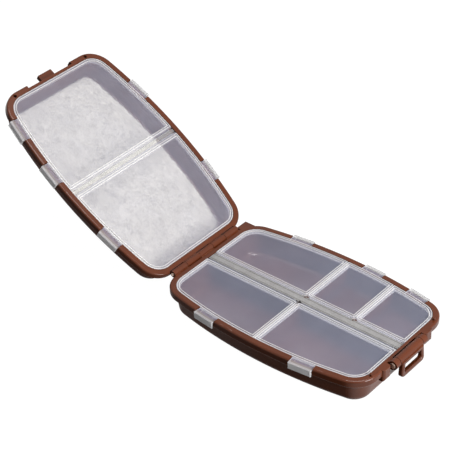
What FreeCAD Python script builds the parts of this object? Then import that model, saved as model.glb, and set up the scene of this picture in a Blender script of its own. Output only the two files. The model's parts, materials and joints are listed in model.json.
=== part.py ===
import FreeCAD, Part
import math
import os
import re
import Sketcher

# Pocket tackle box with two hinged halves. The base stands on its underside with the
# origin at its centre: X runs from the hinge to the latch, Y across, Z up.
# The lid half is drawn in the same way up as the base, then turned over and swung open.

# Driving dimensions, in millimetres and degrees
SIZES = {
    # plan of both halves: bulged long sides, straight ends, round corners
    "half_length": 75.0,
    "crown": 50.0,
    "side_radius": 328.0,
    "corner": 16.0,
    # shells
    "base_depth": 20.0,
    "lid_depth": 17.0,
    "flange_height": 5.0,
    "flange_overhang": 3.5,
    "flange_round": 1.2,
    "draft": 8.0,
    "bottom_round": 5.0,
    "wall": 2.0,
    "base_floor": 3.0,
    "lid_floor": 1.4,
    "base_inner_round": 3.0,
    "lid_inner_round": 1.0,
    "rim_band": 4.0,
    "rim_gap": 0.3,
    # compartment walls
    "divider_wall": 1.8,
    "divider_gap": 0.2,
    "far_split": 35.2,
    # small lids and doors
    "lid_gap": 0.3,
    "lid_spacing": 0.7,
    "lid_drop": 0.5,
    "plate": 1.2,
    "ridge_rise": 0.4,
    "ridge": 0.6,
    "frame_width": 2.0,
    "seat_gap": 0.2,
    "lid_corner": 2.2,
    # hinge lines of the small lids and doors: a round bead in a cradle
    "bead_radius": 0.7,
    "bead_clearance": 0.05,
    "bead_inset": 2.6,
    "cradle_floor": 0.8,
    "spine_hinge": 3.6,
    "spine_notch": 2.6,
    "bar_hinge": 1.9,
    "frame_setback": 0.9,
    # tabs that hook over the rim, set back from the hinge end or the latch end
    "tab_length": 15.0,
    "tab_side_gap": 0.4,
    "tab_floor_gap": 0.2,
    "lip_gap": 0.3,
    "lip": 1.2,
    "lip_drop": 4.6,
    "lip_round": 0.5,
    "tab_window_length": 9.6,
    "tab_window_width": 2.2,
    "tab_window_depth": 0.4,
    "tab_window_back": 1.2,
    "tab_large_setback": 39.0,
    "tab_end_setback": 22.7,
    "tab_hinge_setback": 39.5,
    "tab_latch_setback": 39.2,
    # main hinge
    "hinge_offset": 1.4,
    "knuckle_radius": 2.2,
    "hinge_margin": 1.63,
    "knuckle_play": 0.15,
    "knuckle_gap": 0.4,
    "knuckle_web": 2.4,
    "pin_radius": 1.0,
    "pin_clearance": 0.05,
    "pin_overhang": 0.4,
    "open_angle": 146.7,
    # squared block beside the hinge on the far corner
    "block_gap": 1.1,
    "block_width": 8.5,
    "block_reach": 2.5,
    "block_root": 7.0,
    "block_round": 1.2,
    # latch
    "recess_depth": 2.2,
    "recess_clear": 0.9,
    "lid_recess_extra": 2.0,
    "latch_drop": 1.5,
    "latched_turn": 150.0,
    "sleeve_gap": 0.5,
    "sleeve_radius": 2.9,
    "sleeve_half": 11.0,
    "lug_play": 0.3,
    "lug_length": 4.0,
    "lug_web_clear": 0.2,
    "lug_web_drop": 3.5,
    "lug_root": 1.5,
    "latch_pin_radius": 1.0,
    "latch_pin_head": 1.7,
    "latch_pin_head_length": 0.8,
    "bail_side_gap": 0.6,
    "bail_splay": 1.0,
    "bail_bar": 2.8,
    "bail_length": 11.0,
    "bail_offset": 1.0,
    "bail_head": 1.5,
    "bail_inner_corner": 1.5,
    "bail_corner": 2.8,
    "bail_edge": 1.0,
    "shoulder_length": 7.0,
    "shoulder_reach": 1.5,
    "shoulder_height": 8.0,
    "shoulder_root": 5.0,
    "shoulder_round": 1.8,
    "catch_side_gap": 2.0,
    "catch_reach": 5.2,
    "catch_start": 2.8,
    "catch_gap": 0.2,
    "catch_root": 1.6,
    "catch_round": 0.8,
    # locating pegs and their sockets
    "peg_inset": 2.5,
    "peg_past_straight": 2.63,
    "peg_radius": 0.9,
    "peg_height": 1.6,
    "peg_clearance": 0.3,
    # fleece on the lid's floor
    "fleece": 1.6,
    "fleece_backing": 0.3,
    "fleece_gap": 0.3,
    # cutters run this far past the faces they open
    "overrun": 1.0,
}

# Dimensions that follow from the driving ones
FORMULAS = {
    "axis_depth": "lid_drop + plate / 2",
    "cradle_radius": "bead_radius + bead_clearance",
    "seat_depth": "axis_depth + cradle_radius + cradle_floor",
    "panel_inset": "rim_band + lid_gap",
    "opening_inset": "flange_overhang + wall",
    "base_bottom_inset": "flange_overhang + (base_depth - flange_height) * tan(draft * 1 deg)",
    "lid_bottom_inset": "flange_overhang + (lid_depth - flange_height) * tan(draft * 1 deg)",
    "base_floor_inset": "opening_inset + (base_depth - seat_depth - base_floor) * tan(draft * 1 deg)",
    "lid_floor_inset": "opening_inset + (lid_depth - seat_depth - lid_floor) * tan(draft * 1 deg)",
    "divider_top_inset": "opening_inset + divider_gap",
    "divider_floor_inset": "base_floor_inset + divider_gap",
    "fleece_inset": "lid_floor_inset + lid_inner_round + fleece_gap",
    "no_inset": "0",
    "outer_ridge_inset": "panel_inset + ridge",
    "inner_frame_inset": "panel_inset + frame_width",
    "inner_ridge_inset": "inner_frame_inset - ridge",
    "hinge_x": "half_length + hinge_offset",
    "side_centre": "crown - side_radius",
    "end_straight": "side_centre + sqrt((side_radius - corner) ^ 2 - (half_length - corner) ^ 2)",
    "knuckle_length": "2 * (end_straight + hinge_margin) / 5",
    "hinge_half": "2.5 * knuckle_length",
    "block_start": "hinge_half + pin_overhang + block_gap",
    "block_end": "block_start + block_width",
    "tab_large": "tab_large_setback - half_length",
    "tab_middle": "far_split / 2",
    "tab_end": "half_length - tab_end_setback",
    "tab_hinge": "tab_hinge_setback - half_length",
    "tab_latch": "half_length - tab_latch_setback",
    "recess_face": "half_length - recess_depth",
    "latch_x": "recess_face + sleeve_gap + sleeve_radius",
    "lug_end": "sleeve_half + lug_play + lug_length",
    "base_recess_half": "lug_end + latch_pin_head_length + recess_clear",
    "lid_recess_half": "base_recess_half + lid_recess_extra",
    "bail_inner_top": "sleeve_half - bail_side_gap - bail_bar",
    "bail_inner_bottom": "bail_inner_top + bail_splay",
    "latched_lean": "180 - latched_turn",
    "latched_bar": "(bail_length - bail_bar) * cos(latched_lean * 1 deg)"
    " + bail_offset * sin(latched_lean * 1 deg)",
    "catch_half": "bail_inner_top - catch_side_gap",
    "catch_height": "latched_bar - latch_drop - rim_gap - catch_start - catch_gap",
    "peg_x": "half_length - peg_inset",
    "peg_y": "end_straight + peg_past_straight",
    "socket_radius": "peg_radius + peg_clearance",
    "socket_depth": "peg_height + 2 * peg_clearance",
}

# Two places closer than this are the same place
TINY = 1e-4

doc = FreeCAD.newDocument("tackle_box")
sheet = doc.addObject("Spreadsheet::Sheet", "sizes")


def fill_sheet():
    """One row per dimension: its name, and its value or formula under that alias."""
    rows = [(name, str(number)) for name, number in SIZES.items()]
    rows += [(name, "=" + formula) for name, formula in FORMULAS.items()]
    for row, (name, content) in enumerate(rows, start=1):
        sheet.set(f"A{row}", name)
        sheet.set(f"B{row}", content)
        sheet.setAlias(f"B{row}", name)
    doc.recompute()


def value(name):
    """A dimension's present value."""
    return float(sheet.get(name))


def linked(expression):
    """The expression with every dimension's name pointed at the sheet."""
    names = SIZES.keys() | FORMULAS.keys()
    return re.sub(
        r"[a-z][a-z_]*",
        lambda word: "sizes." + word.group() if word.group() in names else word.group(),
        str(expression),
    )


def bind(obj, prop, expression):
    obj.setExpression(prop, linked(expression))


def box(name, low, high):
    """A block between two corners, given as expressions."""
    solid = doc.addObject("Part::Box", name)
    for side, axis, start, end in zip(("Length", "Width", "Height"), "xyz", low, high):
        bind(solid, side, f"({end}) - ({start})")
        bind(solid, f"Placement.Base.{axis}", start)
    return solid


def rod(name, radius, axis, start, end, across):
    """A round bar along X, Y or Z from start to end; across gives its other two places in order."""
    solid = doc.addObject("Part::Cylinder", name)
    turn = {"x": ((0, 1, 0), 90), "y": ((1, 0, 0), -90), "z": ((0, 0, 1), 0)}[axis]
    solid.Placement.Rotation = FreeCAD.Rotation(FreeCAD.Vector(*turn[0]), turn[1])
    bind(solid, "Radius", radius)
    bind(solid, "Height", f"({end}) - ({start})")
    places = dict(zip([letter for letter in "xyz" if letter != axis], across))
    places[axis] = start
    for letter, place in places.items():
        bind(solid, f"Placement.Base.{letter}", place)
    return solid


def fuse(name, pieces):
    whole = doc.addObject("Part::MultiFuse", name)
    whole.Shapes = pieces
    whole.Refine = True
    return whole


def cut(name, solid, tools):
    remains = doc.addObject("Part::Cut", name)
    remains.Base = solid
    remains.Tool = tools[0] if len(tools) == 1 else fuse(name + "_tools", tools)
    return remains


def common(name, first, second):
    shared = doc.addObject("Part::Common", name)
    shared.Base = first
    shared.Tool = second
    return shared


def rounded(name, solid, radius, wanted):
    """The solid with the wanted edges rounded; wanted is a test on an edge."""
    doc.recompute()
    fillet = doc.addObject("Part::Fillet", name)
    fillet.Base = solid
    edges = enumerate(solid.Shape.Edges, start=1)
    fillet.Edges = [(number, radius, radius) for number, edge in edges if wanted(edge)]
    return fillet


def flat_at(level):
    """A test for edges that lie flat at a height."""
    return lambda edge: max(abs(v.Z - level) for v in edge.Vertexes) < TINY


def barrel_outline(name, inset, level):
    """Plan outline drawn inset from the outside edge: two ends, two bulged sides, four corners."""
    sketch = doc.addObject("Sketcher::SketchObject", name)
    bind(sketch, "Placement.Base.z", level)
    end = value("half_length") - value(inset)
    corner = value("corner") - value(inset)
    side = value("side_radius") - value(inset)
    corner_x = value("half_length") - value("corner")
    side_y = value("side_centre")
    corner_y = value("end_straight")
    lean = math.atan2(corner_y - side_y, corner_x)
    up = FreeCAD.Vector(0, 0, 1)

    def line(x0, y0, x1, y1):
        return Part.LineSegment(FreeCAD.Vector(x0, y0, 0), FreeCAD.Vector(x1, y1, 0))

    def arc(x, y, radius, start, stop):
        circle = Part.Circle(FreeCAD.Vector(x, y, 0), up, radius)
        return Part.ArcOfCircle(circle, start, stop)

    turn = math.pi
    sketch.addGeometry(
        [
            line(end, -corner_y, end, corner_y),
            arc(corner_x, corner_y, corner, 0, lean),
            arc(0, side_y, side, lean, turn - lean),
            arc(-corner_x, corner_y, corner, turn - lean, turn),
            line(-end, corner_y, -end, -corner_y),
            arc(-corner_x, -corner_y, corner, turn, turn + lean),
            arc(0, -side_y, side, turn + lean, 2 * turn - lean),
            arc(corner_x, -corner_y, corner, 2 * turn - lean, 2 * turn),
        ]
    )
    start_point, end_point, centre = 1, 2, 3
    across, along = -1, -2
    rules = [
        Sketcher.Constraint("Tangent", n, end_point, (n + 1) % 8, start_point) for n in range(8)
    ]
    rules += [Sketcher.Constraint("Vertical", n) for n in (0, 4)]
    rules += [Sketcher.Constraint("Equal", 1, n) for n in (3, 5, 7)]
    rules += [Sketcher.Constraint("Equal", 2, 6)]
    rules += [Sketcher.Constraint("PointOnObject", n, centre, along) for n in (2, 6)]
    sketch.addConstraint(rules)
    driven = {
        "corner": (Sketcher.Constraint("Radius", 1, corner), f"corner - {inset}"),
        "side": (Sketcher.Constraint("Radius", 2, side), f"side_radius - {inset}"),
        "far_centre": (
            Sketcher.Constraint("DistanceY", 2, centre, across, start_point, -side_y),
            "-side_centre",
        ),
        "near_centre": (
            Sketcher.Constraint("DistanceY", across, start_point, 6, centre, -side_y),
            "-side_centre",
        ),
        "latch_end": (
            Sketcher.Constraint("DistanceX", across, start_point, 0, start_point, end),
            f"half_length - {inset}",
        ),
        "hinge_end": (
            Sketcher.Constraint("DistanceX", 4, start_point, across, start_point, end),
            f"half_length - {inset}",
        ),
    }
    for title, (rule, expression) in driven.items():
        number = sketch.addConstraint(rule)
        sketch.renameConstraint(number, title)
        bind(sketch, f"Constraints.{title}", expression)
    return sketch


def slab(name, inset, bottom, top):
    """The plan outline as a flat slab between two heights."""
    solid = doc.addObject("Part::Extrusion", name)
    solid.Base = barrel_outline(name + "_outline", inset, bottom)
    solid.DirMode = "Normal"
    solid.Solid = True
    bind(solid, "LengthFwd", f"({top}) - ({bottom})")
    return solid


def tapered(name, top_inset, top, bottom_inset, bottom):
    """A drafted block between two plan outlines."""
    solid = doc.addObject("Part::Loft", name)
    solid.Sections = [
        barrel_outline(name + "_low", bottom_inset, bottom),
        barrel_outline(name + "_high", top_inset, top),
    ]
    solid.Solid = True
    solid.Ruled = True
    return solid


def rim_place(along, side):
    """Position on the outer edge of a long side, with local Y pointing straight out."""
    out_y = value("side_centre") + math.sqrt(value("side_radius") ** 2 - value(along) ** 2)
    slope = math.degrees(math.asin(value(along) / value("side_radius")))
    if side > 0:
        turn = -slope
    else:
        turn = 180 + slope
    spin = FreeCAD.Rotation(FreeCAD.Vector(0, 0, 1), turn)
    return FreeCAD.Placement(FreeCAD.Vector(value(along), side * out_y, 0), spin)


# Where each long side has its tabs, on both halves alike
FAR, NEAR = 1, -1
TABS = [
    ("tab_large", FAR),
    ("tab_middle", FAR),
    ("tab_end", FAR),
    ("tab_hinge", NEAR),
    ("tab_latch", NEAR),
]


def tab(name, along, side, depth):
    """A tab: a plate over the rim, a lip down its outside and a shallow window on top."""
    top = f"{depth} - lid_drop"
    plate = box(
        name + "_plate",
        ("-tab_length / 2", "-panel_inset - ridge", f"{top} - plate"),
        ("tab_length / 2", "lip_gap + lip", top),
    )
    lip = box(
        name + "_lip",
        ("-tab_length / 2", "lip_gap", f"{top} - lip_drop"),
        ("tab_length / 2", "lip_gap + lip", top),
    )
    window = box(
        name + "_window",
        (
            "-tab_window_length / 2",
            "-tab_window_back - tab_window_width",
            f"{top} - tab_window_depth",
        ),
        ("tab_window_length / 2", "-tab_window_back", f"{top} + overrun"),
    )
    outer = value("lip_gap") + value("lip")
    soft = rounded(
        name + "_round",
        fuse(name + "_solid", [plate, lip]),
        value("lip_round"),
        lambda edge: edge.BoundBox.YMin > outer - TINY,
    )
    whole = cut(name, soft, [window])
    whole.Placement = rim_place(along, side)
    return whole


def notches(prefix, depth):
    """Cutters for the places where the tabs cross the rim."""
    tools = []
    half = "tab_length / 2 + tab_side_gap"
    for along, side in TABS:
        name = f"{prefix}_{along}_notch"
        block = box(
            name + "_block",
            (f"-({half})", "-rim_band - overrun", f"{depth} - lid_drop - plate - tab_floor_gap"),
            (half, "overrun", f"{depth} + overrun"),
        )
        notch = doc.addObject("Part::Compound", name)
        notch.Links = [block]
        notch.Placement = rim_place(along, side)
        tools.append(notch)
    return tools


def knuckle_spans(first, count):
    """Y spans of every second knuckle along the barrel, as expressions."""
    spans = []
    for step in range(count):
        start = first + 2 * step
        spans.append((f"{start} * knuckle_length", f"{start + 1} * knuckle_length"))
    return spans


BASE_KNUCKLES = knuckle_spans(-2.5, 3)
LID_KNUCKLES = knuckle_spans(-1.5, 2)


def hinge_pieces(prefix, depth, spans):
    """Knuckles with webs that join them to the rim's end."""
    level = f"{depth} + rim_gap / 2"
    pieces = []
    for number, (start, end) in enumerate(spans, start=1):
        start, end = f"{start} + knuckle_play", f"{end} - knuckle_play"
        place = ("-hinge_x", level)
        barrel = rod(f"{prefix}_knuckle_{number}", "knuckle_radius", "y", start, end, place)
        web = box(
            f"{prefix}_knuckle_web_{number}",
            ("-hinge_x", start, f"{level} - knuckle_radius"),
            ("-hinge_x + knuckle_web", end, level),
        )
        pieces += [barrel, web]
    return pieces


def hinge_pockets(prefix, depth, spans):
    """Cutters that make room in the rim's end for the other half's knuckles."""
    place = ("-hinge_x", f"{depth} + rim_gap / 2")
    reach = "knuckle_radius + knuckle_gap"
    return [
        rod(f"{prefix}_pocket_{n}", reach, "y", f"{start} - knuckle_play", f"{end} + knuckle_play", place)
        for n, (start, end) in enumerate(spans, start=1)
    ]


def hinge_bore(prefix, depth):
    reach = "hinge_half + overrun"
    place = ("-hinge_x", f"{depth} + rim_gap / 2")
    return rod(prefix + "_hinge_bore", "pin_radius + pin_clearance", "y", f"-({reach})", reach, place)


def shell_blank(prefix, depth, extras):
    """Drafted body with a rounded underside, and the wider rim flange on top of it."""
    under = f"{depth} - flange_height"
    body = tapered(prefix + "_body", "flange_overhang", under, prefix + "_bottom_inset", "0")
    underside = flat_at(0)
    soft = rounded(prefix + "_body_round", body, value("bottom_round"), underside)
    flange = slab(prefix + "_flange", "no_inset", under, depth)
    lip = rounded(
        prefix + "_flange_round",
        flange,
        value("flange_round"),
        lambda edge: edge.BoundBox.ZLength < TINY,
    )
    return fuse(prefix + "_blank", [soft, lip] + extras)


def shell_hollow(prefix, depth, floor):
    """Cutters for the seat of the translucent lids and the space under it."""
    seat = slab(prefix + "_seat", "rim_band", f"{depth} - seat_depth", f"{depth} + overrun")
    space = tapered(
        prefix + "_space", "opening_inset", f"{depth} - seat_depth", prefix + "_floor_inset", floor
    )
    soft = rounded(
        prefix + "_space_round", space, value(prefix + "_inner_round"), flat_at(value(floor))
    )
    return [seat, soft]


def base_shell():
    """Base: shell, three knuckles, latch lugs between shoulders, two pegs and a corner block."""
    depth = "base_depth"
    under = f"{depth} - flange_height"
    block = box(
        "corner_block",
        ("-half_length - block_reach", "block_start", under),
        ("-half_length + block_root", "block_end", depth),
    )
    far_out = -value("half_length") - value("block_reach")
    block = rounded(
        "corner_block_round",
        block,
        value("block_round"),
        lambda edge: edge.BoundBox.XMax < far_out + TINY,
    )
    shoulders = []
    for side in (FAR, NEAR):
        low, high = "base_recess_half", "base_recess_half + shoulder_length"
        if side == NEAR:
            low, high = f"-({high})", f"-{low}"
        shoulder = box(
            f"shoulder_{'far' if side == FAR else 'near'}",
            ("half_length - shoulder_root", low, f"{depth} - shoulder_height"),
            ("half_length + shoulder_reach", high, depth),
        )
        outer = value("half_length") + value("shoulder_reach")
        shoulders.append(
            rounded(
                shoulder.Name + "_round",
                shoulder,
                value("shoulder_round"),
                lambda edge, outer=outer: edge.BoundBox.XMin > outer - TINY
                and edge.BoundBox.ZMin < value(depth) - TINY,
            )
        )
    blank = shell_blank("base", depth, [block] + shoulders)
    recess = box(
        "base_recess",
        ("recess_face", "-base_recess_half", f"{under} - shoulder_height"),
        ("latch_x + sleeve_radius * 2", "base_recess_half", f"{depth} + overrun"),
    )
    tools = shell_hollow("base", depth, "base_floor")
    tools += notches("base", depth)
    tools += hinge_pockets("base", depth, LID_KNUCKLES)
    opened = cut("base_opened", blank, tools + [recess])
    pieces = [opened] + hinge_pieces("base", depth, BASE_KNUCKLES)
    level = f"{depth} - latch_drop"
    for side, start in ((FAR, "sleeve_half + lug_play"), (NEAR, "-lug_end")):
        word = "far" if side == FAR else "near"
        lug = rod(
            f"lug_{word}", "sleeve_radius", "y", start, f"{start} + lug_length", ("latch_x", level)
        )
        web = box(
            f"lug_web_{word}",
            ("recess_face - lug_root", start, f"{level} - lug_web_drop"),
            ("latch_x", f"{start} + lug_length", f"{depth} - lug_web_clear"),
        )
        pieces += [lug, web]
    for side in (FAR, NEAR):
        word = "far" if side == FAR else "near"
        pieces.append(
            rod(
                f"peg_{word}",
                "peg_radius",
                "z",
                f"{depth} - overrun",
                f"{depth} + peg_height",
                ("peg_x", f"{side} * peg_y"),
            )
        )
    reach = "lug_end + overrun"
    latch_bore = rod(
        "latch_bore",
        "latch_pin_radius + pin_clearance",
        "y",
        f"-({reach})",
        reach,
        ("latch_x", level),
    )
    whole = fuse("base_pieces", pieces)
    return cut("base_shell", whole, [hinge_bore("base", depth), latch_bore])


def lid_shell():
    """Lid: shell, two knuckles, a recess with a catch for the bail, and two peg sockets."""
    depth = "lid_depth"
    blank = shell_blank("lid", depth, [])
    recess = box(
        "lid_recess",
        ("recess_face", "-lid_recess_half", f"{depth} - flange_height"),
        ("half_length + overrun", "lid_recess_half", f"{depth} + overrun"),
    )
    tools = shell_hollow("lid", depth, "lid_floor")
    tools += notches("lid", depth)
    tools += hinge_pockets("lid", depth, BASE_KNUCKLES)
    for side in (FAR, NEAR):
        word = "far" if side == FAR else "near"
        tools.append(
            rod(
                f"socket_{word}",
                "socket_radius",
                "z",
                f"{depth} - socket_depth",
                f"{depth} + overrun",
                ("peg_x", f"{side} * peg_y"),
            )
        )
    opened = cut("lid_opened", blank, tools + [recess])
    catch = box(
        "catch",
        ("recess_face - catch_root", "-catch_half", f"{depth} - catch_start - catch_height"),
        ("recess_face + catch_reach", "catch_half", f"{depth} - catch_start"),
    )
    outer = value("recess_face") + value("catch_reach")
    soft = rounded(
        "catch_soft", catch, value("catch_round"), lambda edge: edge.BoundBox.XMin > outer - TINY
    )
    pieces = [opened, soft] + hinge_pieces("lid", depth, LID_KNUCKLES)
    return cut("lid_shell", fuse("lid_pieces", pieces), [hinge_bore("lid", depth)])


def divider_frame():
    """One long wall and three cross walls, kept just clear of the shell's sides."""
    top = "base_depth - seat_depth"
    half = "divider_wall / 2"
    walls = [
        box("long_wall", ("-half_length", f"-{half}", "base_floor"), ("half_length", half, top)),
        box("far_wall_middle", (f"-{half}", "0", "base_floor"), (half, "crown", top)),
        box(
            "far_wall_end",
            (f"far_split - {half}", "0", "base_floor"),
            (f"far_split + {half}", "crown", top),
        ),
        box("near_wall", (f"-{half}", "-crown", "base_floor"), (half, "0", top)),
    ]
    room = tapered("divider_room", "divider_top_inset", top, "divider_floor_inset", "base_floor")
    soft = rounded(
        "divider_room_round", room, value("base_inner_round"), flat_at(value("base_floor"))
    )
    return common("divider_frame", fuse("divider_walls", walls), soft)


def plane_of(body, role):
    return next(item for item in body.Origin.OriginFeatures if item.Role == role)


def cradle_strip(name, role, depth, hinge, half_span):
    """A strip with a round cradle along each side for the lids' beads, drawn as one section."""
    body = doc.addObject("PartDesign::Body", name)
    sketch = body.newObject("Sketcher::SketchObject", name + "_section")
    sketch.AttachmentSupport = (plane_of(body, role), [""])
    sketch.MapMode = "FlatFace"
    top = value(depth) - value("lid_drop")
    axis = value(depth) - value("axis_depth")
    foot = value(depth) - value("seat_depth")
    reach = value(hinge)
    radius = value("cradle_radius")
    edge = reach - radius
    up = FreeCAD.Vector(0, 0, 1)

    def line(x0, y0, x1, y1):
        return Part.LineSegment(FreeCAD.Vector(x0, y0, 0), FreeCAD.Vector(x1, y1, 0))

    def arc(x, start, stop):
        circle = Part.Circle(FreeCAD.Vector(x, axis, 0), up, radius)
        return Part.ArcOfCircle(circle, start, stop)

    quarter = math.pi / 2
    sketch.addGeometry(
        [
            line(-edge, top, edge, top),
            line(edge, top, edge, axis),
            arc(reach, 2 * quarter, 3 * quarter),
            line(reach, axis - radius, reach, foot),
            line(reach, foot, -reach, foot),
            line(-reach, foot, -reach, axis - radius),
            arc(-reach, 3 * quarter, 4 * quarter),
            line(-edge, axis, -edge, top),
        ]
    )
    first, last, centre = 1, 2, 3
    across = -1
    rules = [Sketcher.Constraint("Coincident", n, last, (n + 1) % 8, first) for n in range(8)]
    rules += [Sketcher.Constraint("Horizontal", n) for n in (0, 4)]
    rules += [Sketcher.Constraint("Vertical", n) for n in (1, 3, 5, 7)]
    rules += [
        Sketcher.Constraint("Horizontal", 2, first, 2, centre),
        Sketcher.Constraint("Vertical", 2, last, 2, centre),
        Sketcher.Constraint("Vertical", 6, first, 6, centre),
        Sketcher.Constraint("Horizontal", 6, last, 6, centre),
    ]
    sketch.addConstraint(rules)
    driven = {
        "right_radius": (Sketcher.Constraint("Radius", 2, radius), "cradle_radius"),
        "left_radius": (Sketcher.Constraint("Radius", 6, radius), "cradle_radius"),
        "right_reach": (Sketcher.Constraint("DistanceX", across, first, 2, centre, reach), hinge),
        "left_reach": (Sketcher.Constraint("DistanceX", 6, centre, across, first, reach), hinge),
        "right_level": (
            Sketcher.Constraint("DistanceY", across, first, 2, centre, axis),
            f"{depth} - axis_depth",
        ),
        "left_level": (
            Sketcher.Constraint("DistanceY", across, first, 6, centre, axis),
            f"{depth} - axis_depth",
        ),
        "top_level": (
            Sketcher.Constraint("DistanceY", across, first, 0, first, top),
            f"{depth} - lid_drop",
        ),
        "foot_level": (
            Sketcher.Constraint("DistanceY", across, first, 4, first, foot),
            f"{depth} - seat_depth",
        ),
    }
    for title, (rule, expression) in driven.items():
        number = sketch.addConstraint(rule)
        sketch.renameConstraint(number, title)
        bind(sketch, f"Constraints.{title}", expression)
    pad = body.newObject("PartDesign::Pad", name + "_pad")
    pad.Profile = sketch
    pad.Midplane = True
    bind(pad, "Length", f"2 * ({half_span})")
    return body


def base_spine():
    """The strip down the middle of the base, notched at its edges where two lids meet."""
    span = "half_length - panel_inset"
    strip = cradle_strip("spine_strip", "YZ_Plane", "base_depth", "spine_hinge", span)
    half = "spine_notch / 2"
    tools = []
    for name, along, side in (
        ("spine_notch_middle", 0.0, FAR),
        ("spine_notch_end", value("far_split"), FAR),
        ("spine_notch_near", 0.0, NEAR),
    ):
        block = box(
            name + "_block",
            (f"-{half}", f"-{half}", "base_depth - seat_depth - overrun"),
            (half, half, "base_depth"),
        )
        notch = doc.addObject("Part::Compound", name)
        notch.Links = [block]
        corner_on = FreeCAD.Rotation(FreeCAD.Vector(0, 0, 1), 45)
        edge = FreeCAD.Vector(along, side * value("spine_hinge"), 0)
        notch.Placement = FreeCAD.Placement(edge, corner_on)
        tools.append(notch)
    return cut("base_spine", strip, tools)


def panel_slabs(prefix, depth):
    """Whole-plan slabs that the small lids and doors are cut from: plate, frame and groove."""
    top = f"{depth} - lid_drop"
    foot, crest = f"{depth} - seat_depth + seat_gap", f"{top} + ridge_rise"
    plans = {
        "plate": ("panel_inset", f"{top} - plate", top),
        "frame": ("panel_inset", foot, crest),
        "frame_in": ("inner_frame_inset", foot, crest),
        "groove": ("outer_ridge_inset", top, crest),
        "groove_in": ("inner_ridge_inset", top, crest),
    }
    return {
        title: slab(f"{prefix}_{title}", inset, low, high)
        for title, (inset, low, high) in plans.items()
    }


def cell_box(name, cell, depth, shrink, corner):
    """A lid's share of the plan, drawn in from every side, with rounded upright corners."""
    x0, x1, y0, y1 = cell
    block = box(
        name,
        (f"{x0} + {shrink}", f"{y0} + {shrink}", f"{depth} - seat_depth"),
        (f"{x1} - ({shrink})", f"{y1} - ({shrink})", f"{depth} + overrun"),
    )
    return rounded(name + "_round", block, corner, lambda edge: edge.BoundBox.ZLength > TINY)


def panel(name, slabs, depth, cell, hinge, tabs):
    """A translucent lid: plate, grooved frame around it, bead along its hinge line and its tabs."""
    corner = value("lid_corner")
    ridge_cell = dict(zip(("x0", "x1", "y0", "y1"), cell))
    sign = "+" if hinge["side"].endswith("0") else "-"
    ridge_cell[hinge["side"]] += f" {sign} frame_setback"
    ridge_cell = tuple(ridge_cell.values())
    steps = {
        "frame": "0",
        "groove": "ridge",
        "groove_in": "(frame_width - ridge)",
        "frame_in": "frame_width",
    }
    rings = {}
    for title, shrink in steps.items():
        drawn_in = {"frame": 0.0, "groove": value("ridge")}.get(title, corner)
        least = value("ridge") / 2
        cells = cell_box(
            f"{name}_{title}_cell", ridge_cell, depth, shrink, max(corner - drawn_in, least)
        )
        rings[title] = common(f"{name}_{title}", slabs[title], cells)
    groove = cut(f"{name}_groove_ring", rings["groove"], [rings["groove_in"]])
    frame = cut(f"{name}_frame_ring", rings["frame"], [rings["frame_in"], groove])
    plate_cell = cell_box(f"{name}_plate_cell", cell, depth, "0", corner)
    plate = common(f"{name}_plate", slabs["plate"], plate_cell)
    bead = rod(
        f"{name}_bead",
        "bead_radius",
        hinge["along"],
        hinge["start"],
        hinge["end"],
        (hinge["place"], f"{depth} - axis_depth"),
    )
    pieces = [plate, frame, bead]
    pieces += [tab(f"{name}_{along}", along, side, depth) for along, side in tabs]
    return fuse(name, pieces)


def base_lids():
    """Five small lids over the base, hinged on the spine."""
    slabs = panel_slabs("base_panel", "base_depth")
    gap = "lid_spacing / 2"
    ends = "(half_length - panel_inset - bead_inset)"
    plans = {
        "lid_far_large": ("-half_length", f"-{gap}", FAR, "tab_large"),
        "lid_far_middle": (gap, f"far_split - {gap}", FAR, "tab_middle"),
        "lid_far_end": (f"far_split + {gap}", "half_length", FAR, "tab_end"),
        "lid_near_hinge": ("-half_length", f"-{gap}", NEAR, "tab_hinge"),
        "lid_near_latch": (gap, "half_length", NEAR, "tab_latch"),
    }
    lids = []
    for name, (start, end, side, along) in plans.items():
        if side == FAR:
            cell = (start, end, "spine_hinge", "crown")
        else:
            cell = (start, end, "-crown", "-spine_hinge")
        hinge = {
            "side": "y0" if side == FAR else "y1",
            "along": "x",
            "start": f"-{ends}" if start == "-half_length" else f"{start} + bead_inset",
            "end": ends if end == "half_length" else f"{end} - bead_inset",
            "place": f"{side} * spine_hinge",
        }
        lids.append(panel(name, slabs, "base_depth", cell, hinge, [(along, side)]))
    return lids


def lid_doors():
    """Two doors over the lid half, hinged on the cross bar, with tabs on both long sides."""
    slabs = panel_slabs("door_panel", "lid_depth")
    reach = "(crown - panel_inset - bead_inset)"
    plans = {
        "door_inner": ("-half_length", "-bar_hinge", "x1", "-bar_hinge", ("tab_large", "tab_hinge")),
        "door_outer": ("bar_hinge", "half_length", "x0", "bar_hinge", ("tab_middle", "tab_end", "tab_latch")),
    }
    doors = []
    for name, (start, end, side, place, alongs) in plans.items():
        hinge = {"side": side, "along": "y", "start": f"-{reach}", "end": reach, "place": place}
        cell = (start, end, "-crown", "crown")
        tabs = [item for item in TABS if item[0] in alongs]
        doors.append(panel(name, slabs, "lid_depth", cell, hinge, tabs))
    return doors


def fleece_sheet():
    """The fleece and the adhesive film under it, on the lid's floor."""
    film = slab("fleece_backing_sheet", "fleece_inset", "lid_floor", "lid_floor + fleece_backing")
    top = "lid_floor + fleece_backing + fleece"
    pile = slab("fleece_pad_sheet", "fleece_inset", "lid_floor + fleece_backing", top)
    film.Label = "fleece_backing"
    pile.Label = "fleece_pad"
    return [pile, film]


def hinge_pin():
    reach = "hinge_half + pin_overhang"
    place = ("-hinge_x", "base_depth + rim_gap / 2")
    return rod("hinge_pin", "pin_radius", "y", f"-({reach})", reach, place)


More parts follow.
